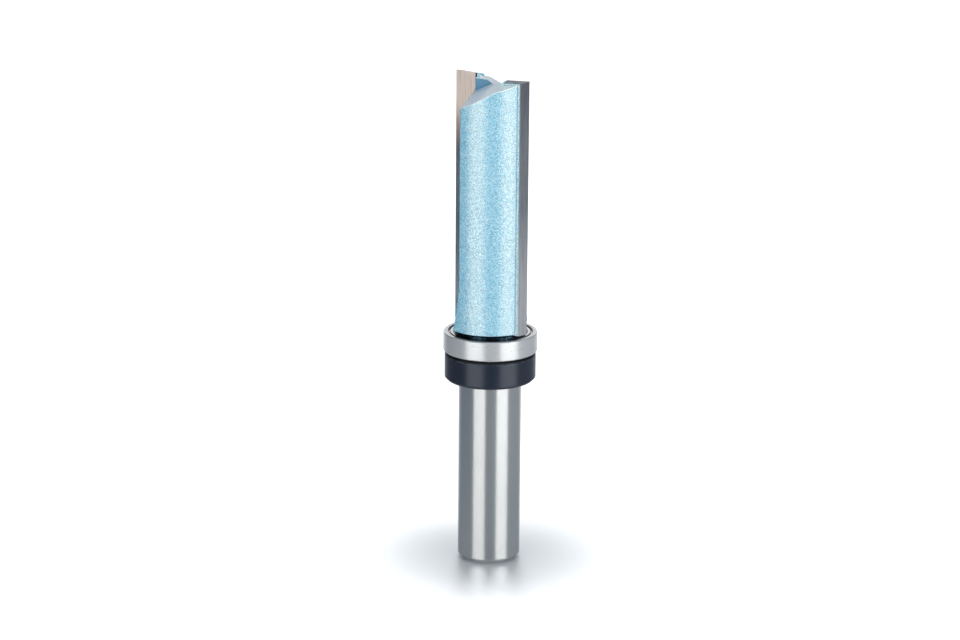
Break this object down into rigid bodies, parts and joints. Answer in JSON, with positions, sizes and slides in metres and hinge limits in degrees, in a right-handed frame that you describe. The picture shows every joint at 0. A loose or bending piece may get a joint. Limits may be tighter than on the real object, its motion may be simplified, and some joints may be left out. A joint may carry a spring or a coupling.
{
  "type": "router bit",
  "caption": "Straight flush-trim router bit with brazed carbide cutting edges, a shank-mounted ball bearing and a stop collar.",
  "frame": {"origin": "centre of the flat end of the shank, on which the bit stands", "axes": "+Z along the bit's axis from the shank end to the cutting end; +X through cutting edge A"},
  "size_m": [0.019, 0.019, 0.1002],
  "materials": {
    "painted_steel": "light blue glitter coating on the cutter body, bare ground steel on the shank",
    "carbide": "ground tungsten carbide, lengthwise grinding marks",
    "black_oxide": "turned steel with a black oxide finish",
    "bearing_steel": "fine ground bearing steel",
    "shield_steel": "pressed bright sheet steel",
    "spring_wire": "drawn spring wire",
    "ball_steel": "polished bearing balls",
    "cage_nylon": "moulded natural nylon"
  },
  "bodies": {
    "bit": {"bit_body": "painted_steel", "carbide_tip_a": "carbide", "carbide_tip_b": "carbide", "stop_collar": "black_oxide", "set_screw": "black_oxide", "bearing_inner_ring": "bearing_steel"},
    "outer_race": {"bearing_outer_ring": "bearing_steel", "shield_upper": "shield_steel", "shield_lower": "shield_steel", "shield_wire_upper": "spring_wire", "shield_wire_lower": "spring_wire"},
    "ball_set": {"bearing_cage": "cage_nylon", "ball_01": "ball_steel", "ball_02": "ball_steel", "ball_03": "ball_steel", "ball_04": "ball_steel", "ball_05": "ball_steel", "ball_06": "ball_steel", "ball_07": "ball_steel", "ball_08": "ball_steel", "ball_09": "ball_steel", "ball_10": "ball_steel", "ball_11": "ball_steel", "ball_12": "ball_steel", "ball_13": "ball_steel", "ball_14": "ball_steel", "ball_15": "ball_steel"}
  },
  "joints": [
    {"name": "bearing_spin", "type": "hinge", "parent": "bit", "child": "outer_race", "pos_m": [0, 0, 0.04598], "axis": [0, 0, 1], "continuous": true},
    {"name": "cage_orbit", "type": "hinge", "parent": "bit", "child": "ball_set", "pos_m": [0, 0, 0.04598], "axis": [0, 0, 1], "continuous": true}
  ],
  "couplings": [
    {"joint": "cage_orbit", "follows": "bearing_spin", "ratio": 0.55}
  ]
}
